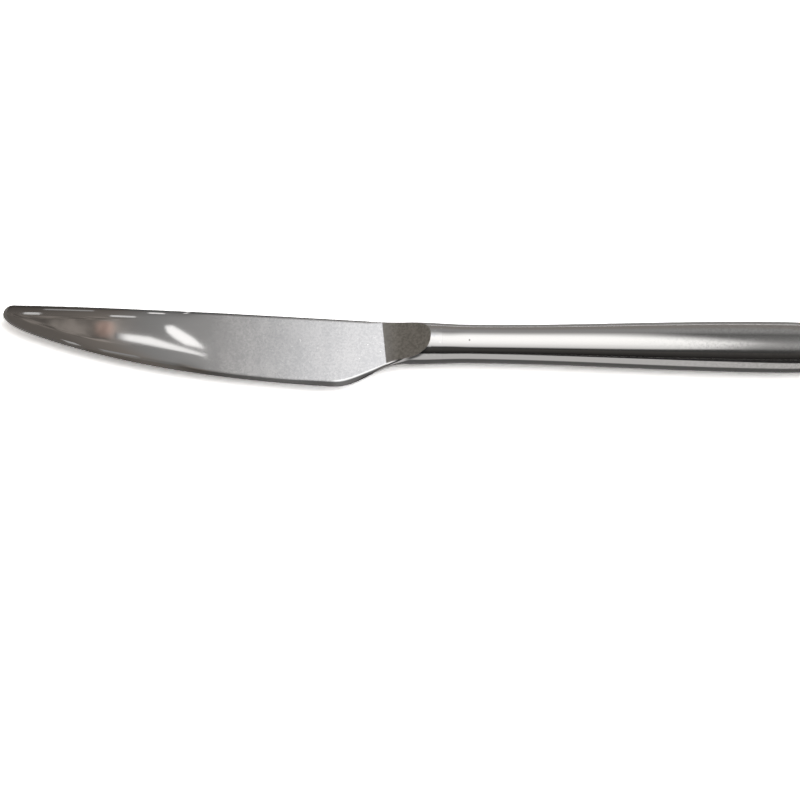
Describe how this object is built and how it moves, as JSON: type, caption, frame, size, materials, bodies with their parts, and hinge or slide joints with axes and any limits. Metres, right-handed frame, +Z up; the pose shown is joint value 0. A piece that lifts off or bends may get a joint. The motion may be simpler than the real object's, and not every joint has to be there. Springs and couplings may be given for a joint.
{
  "type": "dessert knife",
  "caption": "Dessert knife lying on its side: a flat steel blade with a scooped neck, its tang soldered and cemented into a round hollow handle that swells to a domed end",
  "frame": {"origin": "middle of the bounding box on the surface that the knife lies on", "axes": "+X runs from the blade's tip to the handle's end, +Y from the cutting edge to the spine, +Z up"},
  "size_m": [0.21, 0.0202, 0.0123],
  "materials": {
    "blade_steel": "fine satin polish on hardened stainless steel, with light marks of use near the heel",
    "handle_steel": "mirror-polished stainless steel with faint hairline wear",
    "solder": "dull hard solder, hidden inside the handle's mouth",
    "cement": "matt grey-brown filled cement, hidden inside the handle"
  },
  "bodies": {
    "root": {"blade": "blade_steel", "handle_shell_upper": "handle_steel", "handle_shell_lower": "handle_steel", "solder_ring": "solder", "tang_cement": "cement"}
  },
  "joints": []
}
